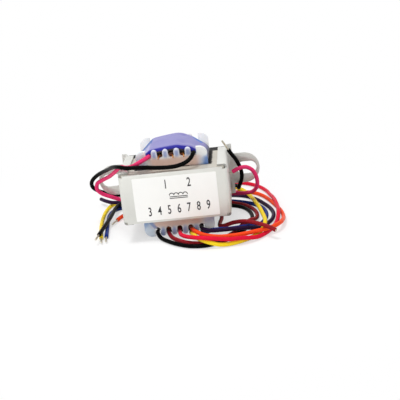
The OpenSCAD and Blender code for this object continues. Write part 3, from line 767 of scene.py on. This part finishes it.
def coil_band(inset, roll, wall, margin=0.0):
    """A band round the coil: inset from its outside, with edges rolled down over the ends."""
    begin()
    loop = smooth_line([(x, 0, h) for x, h in COIL_SECTION], 5, closed=True)
    count = len(loop)
    inward = []
    for i in range(count):
        along = loop[(i + 1) % count] - loop[i - 1]
        inward.append(Vector((-along.z, 0, along.x)).normalized())
    bpy.ops.mesh.primitive_circle_add(vertices=count, radius=1, fill_type="NOTHING")
    piece = bpy.context.object
    for vert, place in zip(piece.data.vertices, loop):
        vert.co = place
    rings = [(-1, t, drop) for t, drop in ROLL_RINGS] + [(0, 0, 0)]
    rings += [(1, t, drop) for t, drop in reversed(ROLL_RINGS)]
    edit(piece)
    for _ in rings[1:]:
        bpy.ops.mesh.extrude_edges_move(TRANSFORM_OT_translate={"value": (0, 1, 0)})
    leave()
    for vert in piece.data.vertices:
        side, t, drop = rings[round(vert.co.y)]
        flat = Vector((vert.co.x, 0, vert.co.z))
        i = min(range(count), key=lambda k: (loop[k] - flat).length_squared)
        rise = max(0.0, abs(loop[i].z) - LEAN_HEIGHT)
        share = LEAST_ROLL + (1 - LEAST_ROLL) * min(1.0, rise / ROLL_RISE)
        place = loop[i] + inward[i] * (inset + drop * roll * share)
        y = side * (COIL_HALF + rise * LEAN - margin - t)
        vert.co = Vector((place.x, COIL_MIDDLE_Y + y, STACK_MIDDLE + place.z)) * MM
    outward(piece)
    modify(piece, "SOLIDIFY", thickness=wall * MM, offset=-1)
    return piece


def press(piece, places):
    """Pulls soft lumps and dents in a mesh: middle, reach and pull of each."""
    edit(piece)
    for middle, reach, pull in places:
        centre = Vector(middle) * MM
        verts = bmesh.from_edit_mesh(piece.data).verts
        nearest = min((v.co - centre).length for v in verts)
        pick(piece, "verts", lambda v: (v.co - centre).length < nearest + MERGE)
        bpy.ops.transform.translate(value=Vector(pull) * MM, use_proportional_edit=True,
                                    proportional_edit_falloff="SMOOTH", proportional_size=reach * MM)
    leave()


def wire_tail(x, lean):
    """The end of a winding, led over the foot of a slot in the upper comb."""
    points = ((x - lean, -9.2, 33.5), (x, -10.2, 33), (x + lean * 0.5, -11, 32.8), (x + lean, -11.7, 32.3))
    tail = tube([point * MM for point in smooth_line(points, 5)], TAIL_WIDTH * MM, 3)
    smooth(tail, 60)
    return tail


# Sticker

# The print: its depth and added weight in metres, and a digit's width and height as shares of the font's.
INK_DEPTH = 0.00002
INK_WEIGHT = 0.00006
DIGIT_WIDTH = 0.62
DIGIT_SHARE = 0.7
# The numbers of the two output leads, and of the seven others: text, x and z in mm.
OUTPUT_NUMBERS = (("1", -3.1, 23.1), ("2", 6.2, 23.2))
LEAD_NUMBERS = tuple((str(i + 3), -10.4 + 3.9 * i, 12.3 + 0.15 * i) for i in range(7))
# The sign for a winding, in mm: its place, a loop's radius, a line's width, the loops' and bars' heights.
MARK_PLACE = (1.6, 18)
MARK_LOOP = 0.9
MARK_LINE = 0.34
MARK_LOOPS_Y = 0.5
MARK_BARS_Y = (-0.1, -0.75)
MARK_LOOPS = 4


def stick(mark, x, z, front):
    """Turns a flat mark upright and lays it on the sticker."""
    mark.rotation_euler = (math.radians(90), 0, 0)
    mark.location = (x * MM, front - INK_DEPTH / 2, z * MM)
    settle(mark)
    return mark


def digit(text, x, z, front, height):
    """One narrow digit."""
    begin()
    bpy.ops.object.text_add()
    mark = bpy.context.object
    mark.data.body = text
    mark.data.size = height / DIGIT_SHARE
    mark.data.align_x = "CENTER"
    mark.data.align_y = "CENTER"
    mark.data.offset = INK_WEIGHT
    mark.data.resolution_u = 4
    take(mark)
    bpy.ops.object.convert(target="MESH")
    mark = bpy.context.object
    outward(mark)
    modify(mark, "SOLIDIFY", thickness=INK_DEPTH, offset=0)
    mark.scale = (DIGIT_WIDTH, 1, 1)
    return stick(mark, x, z, front)


def winding_mark(front):
    """The sign for a winding: a row of half loops, and two bars for the core."""
    begin()
    loop, line = MARK_LOOP * MM, MARK_LINE * MM
    bpy.ops.mesh.primitive_circle_add(vertices=32, radius=loop + line / 2, fill_type="NGON")
    mark = bpy.context.object
    edit(mark)
    bpy.ops.mesh.inset(thickness=line)
    bpy.ops.mesh.delete(type="FACE")
    bpy.ops.mesh.select_all(action="SELECT")
    bpy.ops.mesh.bisect(plane_co=(0, 0, 0), plane_no=(0, 1, 0), clear_inner=True)
    leave()
    modify(mark, "ARRAY", count=MARK_LOOPS, use_relative_offset=False, use_constant_offset=True,
           constant_offset_displace=(2 * loop, 0, 0))
    edit(mark)
    bpy.ops.transform.translate(value=((1 - MARK_LOOPS) * loop, MARK_LOOPS_Y * MM, 0))
    leave()
    bars = []
    for y in MARK_BARS_Y:
        begin()
        bpy.ops.mesh.primitive_plane_add(size=1, location=(0, y * MM, 0))
        bar = bpy.context.object
        bar.scale = (2 * MARK_LOOPS * loop, line, 1)
        settle(bar)
        bars.append(bar)
    take(mark, *bars)
    bpy.ops.object.join()
    modify(mark, "SOLIDIFY", thickness=INK_DEPTH, offset=0)
    return stick(mark, *MARK_PLACE, front)


# Stage, in metres

FLOOR_SIZE = 6
FLOOR_DROP = 0.0001
FLOOR_GREY = (0.9, 0.9, 0.9, 1)
# How white the floor looks under the object, and where it turns to full white, in mm.
FLOOR_NEAR = 0.55
FLOOR_FADE = (50, 160)
# How much light the white surroundings give the object.
WORLD_LEVEL = 0.63
# Each lamp: name, place, size and power. All point at one place.
LAMPS = (
    ("overhead", (-0.12, -0.08, 0.6), 0.2, 2.0),
    ("front", (-0.2, -0.7, 0.3), 0.35, 1.0),
    ("side", (0.5, -0.2, 0.25), 0.3, 0.15),
)
LAMP_TARGET = (0, 0, 0.02)
# The camera: its place, the three directions of its view, and its lens in mm.
CAMERA_PLACE = (0.03473, -0.39535, 0.12763)
CAMERA_RIGHT = (0.993457, 0.032974, -0.109342)
CAMERA_UP = (0.095262, 0.288823, 0.952631)
CAMERA_BACK = (0.062992, -0.956815, 0.283792)
CAMERA_LENS = 90
CAMERA_SENSOR = 36


# Settings

def colour_of(name, note, value):
    """A colour that a user may change, given as on a screen, from 0 to 255."""
    shown = tuple(round(v / 255, 4) for v in value)
    return FloatVectorProperty(name=name, description=note, default=shown, subtype="COLOR_GAMMA", size=3,
                               min=0, max=1)


def length_of(name, note, value):
    """A length that a user may change, given in mm."""
    return FloatProperty(name=name, description=note, default=value * MM, unit="LENGTH", precision=5, min=0)


class TransformerSizes(bpy.types.PropertyGroup):
    """Sizes of the pieces that are modelled here."""

    lead_width: length_of("Lead", "Outside diameter of an insulated lead", 1.7)
    strand_width: length_of("Strands", "Diameter of a stripped end", 0.8)
    tape_wall: length_of("Tape wall", "Thickness of the outer tape", 0.45)
    tape_roll: length_of("Tape roll", "How far the edges of the tape roll down over the coil", 1.5)
    sheet_easing: length_of("Sheet easing", "Rounding of the cut edges of the clamp frame", 0.12)
    nylon_easing: length_of("Nylon easing", "Rounding of the moulded edges of the bobbin", 0.16)
    digit_height: length_of("Digit height", "Height of the numbers on the sticker", 3.6)


class TransformerColours(bpy.types.PropertyGroup):
    """Colours of the finishes, as they look on a screen."""

    sheet: colour_of("Sheet", "Plated sheet of the clamp frame", (218, 218, 212))
    # The grey to which the lips' front ends are darkened.
    sheet_lip_end: colour_of("Sheet ends", "Cut ends of the lips", (70, 68, 64))
    core: colour_of("Core", "Faces of the core sheets", (202, 197, 186))
    core_rust: colour_of("Core stain", "Stains on the core sheets", (140, 118, 96))
    # This colour also serves as painted shade along the edges of the core's windows.
    varnish: colour_of("Varnish", "Baked varnish on the core", (15, 13, 13))
    varnish_thin: colour_of("Thin varnish", "Where the varnish is thin", (84, 76, 68))
    nylon: colour_of("Nylon", "Bobbin where nothing lies behind it", (230, 230, 229))
    nylon_warm: colour_of("Warm nylon", "Bobbin with the winding behind it", (226, 194, 180))
    nylon_blue: colour_of("Blue nylon", "Bobbin with the tape behind it", (72, 116, 186))
    nylon_violet: colour_of("Violet nylon", "Bobbin's left corner, low down", (176, 180, 216))
    nylon_pale: colour_of("Pale nylon", "Bobbin's lower left corner", (150, 182, 216))
    nylon_lilac: colour_of("Lilac nylon", "Rims of the teeth", (204, 206, 230))
    nylon_teeth: colour_of("Teeth", "Teeth of the combs in front of the tape", (112, 132, 190))
    # A cool tint painted to offset the pink light thrown on this corner by the pink lead.
    nylon_cool: colour_of("Cool nylon", "Bobbin's upper left corner", (204, 230, 238))
    # Painted shade of the dark gap beside the bobbin's left foot.
    nylon_foot_shade: colour_of("Nylon foot", "Bobbin's left corner, right above the core", (48, 54, 84))
    wire: colour_of("Wire", "Enamelled wire", (168, 84, 48))
    wire_dark: colour_of("Dark wire", "Enamelled wire under old varnish", (96, 42, 28))
    wire_shadow: colour_of("Wire under tape", "Enamelled wire in the shade of the tape", (20, 15, 34))
    wire_tail: colour_of("Wire tail", "Ends of the winding at the comb", (196, 122, 48))
    # Painted shade: the film is dark brown for the shade its edge lies in.
    barrier: colour_of("Barrier", "Film between the windings", (92, 58, 36))
    # Painted sheen: the pale lilac of the tape where light falls on its flat top.
    tape: colour_of("Tape", "Outer tape where it lies flat", (128, 124, 184))
    tape_left_sheen: colour_of("Tape haze", "Outer tape on its left slope", (198, 196, 226))
    # Painted sheen on the tape's left slope.
    tape_side: colour_of("Tape sides", "Outer tape at its folds", (24, 98, 188))
    tape_rim: colour_of("Tape rim", "Outer tape on the far part of its left slope", (6, 80, 164))
    # Painted shade on the tape down in the windows of the core.
    tape_sunk_shade: colour_of("Sunk tape", "Outer tape down in the windows of the core", (20, 20, 58))
    # Painted shade on the rolled edges of the tape.
    tape_edge_shade: colour_of("Tape edge", "Rolled edges of the outer tape", (44, 42, 146))
    paper: colour_of("Paper", "Sticker", (246, 246, 243))
    ink: colour_of("Ink", "Numbers on the sticker", (38, 38, 42))
    pvc_black: colour_of("Black lead", "Insulation", (8, 8, 8))
    pvc_brown: colour_of("Brown lead", "Insulation", (140, 32, 40))
    pvc_red: colour_of("Red lead", "Insulation", (216, 26, 56))
    pvc_orange: colour_of("Orange lead", "Insulation", (238, 76, 36))
    pvc_yellow: colour_of("Yellow lead", "Insulation", (238, 208, 40))
    pvc_purple: colour_of("Purple lead", "Insulation", (42, 24, 52))
    pvc_blue: colour_of("Blue lead", "Insulation", (26, 50, 124))
    pvc_pink: colour_of("Pink lead", "Insulation", (224, 56, 110))
    tin: colour_of("Tin", "Stripped ends", (196, 190, 172))
    tin_copper: colour_of("Copper", "Stripped ends where the tin is thin", (184, 132, 92))


def chosen(scene):
    """The sizes and colours that hold in a scene."""
    return scene.transformer_sizes, scene.transformer_colours


# Operators

class TRANSFORMER_OT_clamp_frame(bpy.types.Operator):
    """Ease the edges of the folded clamp frame and plate it"""

    bl_idname = "transformer.clamp_frame"
    bl_label = "Clamp frame"

    def execute(self, context):
        sizes, colours = chosen(context.scene)
        sheet = eased_copy("clamp_frame", sizes.sheet_easing)
        hand_in(sheet, "folded_frame", plated_sheet(colours), ["clamp_frame"])
        return {"FINISHED"}


class TRANSFORMER_OT_core(bpy.types.Operator):
    """Finish the two stacks of core sheets"""

    bl_idname = "transformer.core"
    bl_label = "Core"

    def execute(self, context):
        _, colours = chosen(context.scene)
        coat_node("e_laminations", core_steel(colours))
        coat_node("i_laminations", varnished_core(colours))
        return {"FINISHED"}


class TRANSFORMER_OT_bobbin(bpy.types.Operator):
    """Finish the moulded bobbin"""

    bl_idname = "transformer.bobbin"
    bl_label = "Bobbin"

    def execute(self, context):
        sizes, colours = chosen(context.scene)
        spool = eased_copy("bobbin", sizes.nylon_easing)
        hand_in(spool, "moulded_bobbin", nylon(colours), ["bobbin"])
        return {"FINISHED"}


class TRANSFORMER_OT_coil(bpy.types.Operator):
    """Wind the coil and wrap it in tape"""

    bl_idname = "transformer.coil"
    bl_label = "Coil"

    def execute(self, context):
        sizes, colours = chosen(context.scene)
        wire = enamelled_wire(colours)
        coat_node("primary_winding", wire)
        coat_node("interwinding_tape", barrier_tape(colours))
        roll, wall = sizes.tape_roll / MM, sizes.tape_wall / MM
        winding = coil_band(wall + WINDING_DROP, roll, WINDING_WALL, WINDING_MARGIN)
        smooth(winding)
        hand_in(winding, "wound_secondary", wire, ["secondary_winding"])
        tape = coil_band(0, roll, wall)
        modify(tape, "SUBSURF", levels=1, render_levels=1)
        press(tape, TAPE_LUMPS)
        smooth(tape, 60)
        hand_in(tape, "wrapped_tape", film_tape(colours), ["outer_tape"])
        tails = [wire_tail(slot * COMB_PITCH + shift, shift / 2) for slot, shift in TAILS]
        take(*tails)
        bpy.ops.object.join()
        hand_in(tails[0], "wire_tails", tail_wire(colours))
        return {"FINISHED"}


class TRANSFORMER_OT_sticker(bpy.types.Operator):
    """Lay the paper sticker on the plate and number the leads on it"""

    bl_idname = "transformer.sticker"
    bl_label = "Sticker"

    def execute(self, context):
        sizes, colours = chosen(context.scene)
        coat_node("label_sticker", label_paper(colours))
        ink = label_ink(colours)
        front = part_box("label_sticker")[0].y
        for name, marks in (("output_numbers", OUTPUT_NUMBERS), ("lead_numbers", LEAD_NUMBERS)):
            made = [digit(text, x, z, front, sizes.digit_height) for text, x, z in marks]
            take(*made)
            bpy.ops.object.join()
            hand_in(made[0], name, ink)
        hand_in(winding_mark(front), "winding_mark", ink)
        return {"FINISHED"}


class TRANSFORMER_OT_leads(bpy.types.Operator):
    """Lay the nine leads with their stripped ends"""

    bl_idname = "transformer.leads"
    bl_label = "Leads"

    def execute(self, context):
        sizes, colours = chosen(context.scene)
        tin = tinned_wire(colours)
        coats = {}
        for colour, group, strip, points in LEADS:
            slot = "pvc_" + colour
            if slot not in coats:
                coats[slot] = pvc(slot, getattr(colours, slot))
            line = [point * MM for point in smooth_line(points, 6)]
            for point in line:
                point.z = max(point.z, sizes.lead_width / 2)
            length = sum((b - a).length for a, b in zip(line, line[1:]))
            lead = insulation(line, sizes.lead_width)
            hand_in(lead, group + colour + "_lead", coats[slot], [group + "lead_" + colour])
            along = (line[-1] - line[-2]).normalized()
            end = stripped_end(line[-1], along, strip * MM, sizes.strand_width)
            hand_in(end, group + colour + "_strands", tin, [group + "tip_" + colour])
        return {"FINISHED"}


class TRANSFORMER_OT_stage(bpy.types.Operator):
    """Set the floor, the soft light and the camera"""

    bl_idname = "transformer.stage"
    bl_label = "Stage"

    def execute(self, context):
        self.floor()
        for lamp in LAMPS:
            self.lamp(*lamp)
        self.world(context.scene)
        self.camera(context.scene)
        return {"FINISHED"}

    def floor(self):
        """A pale floor that keeps the object's shadow and fades to white away from it."""
        begin()
        bpy.ops.mesh.primitive_plane_add(size=FLOOR_SIZE, location=(0, 0, -FLOOR_DROP))
        floor = bpy.context.object
        settle(floor)
        floor.name = "floor"
        finish = Finish("floor", Base_Color=FLOOR_GREY, Roughness=0.9, Specular_IOR_Level=0.1)
        x, y = finish.axes()[:2]
        away = ((x * x + y * y) ** 0.5).step(*FLOOR_FADE)
        white = FLOOR_NEAR + (1 - FLOOR_NEAR) * away
        glow = finish.node("ShaderNodeEmission", sockets={"Color": WHITE, "Strength": 1.0})
        finish.blend(white * finish.seen(), Wire(finish, finish.shader.outputs[0]), glow)
        floor.data.materials.append(finish.material)

    def lamp(self, name, place, size, power):
        """A soft square lamp that shines on the object."""
        begin()
        bpy.ops.object.light_add(type="AREA", location=place)
        lamp = bpy.context.object
        lamp.name = name
        lamp.data.shape = "SQUARE"
        lamp.data.size = size
        lamp.data.energy = power
        lamp.rotation_euler = (Vector(LAMP_TARGET) - Vector(place)).to_track_quat("-Z", "Y").to_euler()

    def world(self, scene):
        """A white backdrop that lights the object only softly."""
        world = bpy.data.worlds.new("studio")
        scene.world = world
        world.use_nodes = True
        sky = Nodes(world.node_tree)
        light = sky.tree.nodes["Background"]
        sky.join(light.inputs["Color"], WHITE)
        sky.join(light.inputs["Strength"], WORLD_LEVEL)
        backdrop = sky.node("ShaderNodeBackground", sockets={"Color": WHITE, "Strength": 1.0})
        sky.blend(sky.seen(), Wire(sky, light.outputs[0]), backdrop)
        scene.view_settings.view_transform = "Standard"

    def camera(self, scene):
        """A camera at the photograph's viewing angle."""
        begin()
        bpy.ops.object.camera_add()
        camera = bpy.context.object
        camera.data.lens = CAMERA_LENS
        camera.data.sensor_width = CAMERA_SENSOR
        turn = Matrix((CAMERA_RIGHT, CAMERA_UP, CAMERA_BACK)).transposed().to_4x4()
        camera.matrix_world = Matrix.Translation(CAMERA_PLACE) @ turn
        camera.data.clip_start, camera.data.clip_end = 0.01, 20
        scene.camera = camera


OPERATORS = (
    TRANSFORMER_OT_clamp_frame, TRANSFORMER_OT_core, TRANSFORMER_OT_bobbin, TRANSFORMER_OT_coil,
    TRANSFORMER_OT_sticker, TRANSFORMER_OT_leads, TRANSFORMER_OT_stage,
)


class TRANSFORMER_PT_panel(bpy.types.Panel):
    """The steps that build the transformer's looks, in order"""

    bl_label = "Transformer"
    bl_idname = "TRANSFORMER_PT_panel"
    bl_space_type = "VIEW_3D"
    bl_region_type = "UI"
    bl_category = "Transformer"

    def draw(self, context):
        for step in OPERATORS:
            self.layout.operator(step.bl_idname)
        for group in chosen(context.scene):
            for name in group.__annotations__:
                self.layout.prop(group, name)


CLASSES = (TransformerSizes, TransformerColours, *OPERATORS, TRANSFORMER_PT_panel)


def register():
    for item in CLASSES:
        bpy.utils.register_class(item)
    bpy.types.Scene.transformer_sizes = PointerProperty(type=TransformerSizes)
    bpy.types.Scene.transformer_colours = PointerProperty(type=TransformerColours)


def unregister():
    del bpy.types.Scene.transformer_colours
    del bpy.types.Scene.transformer_sizes
    for item in reversed(CLASSES):
        bpy.utils.unregister_class(item)


def main():
    register()
    bpy.ops.transformer.clamp_frame()
    bpy.ops.transformer.core()
    bpy.ops.transformer.bobbin()
    bpy.ops.transformer.coil()
    bpy.ops.transformer.sticker()
    bpy.ops.transformer.leads()
    bpy.ops.transformer.stage()


if __name__ == "__main__":
    main()
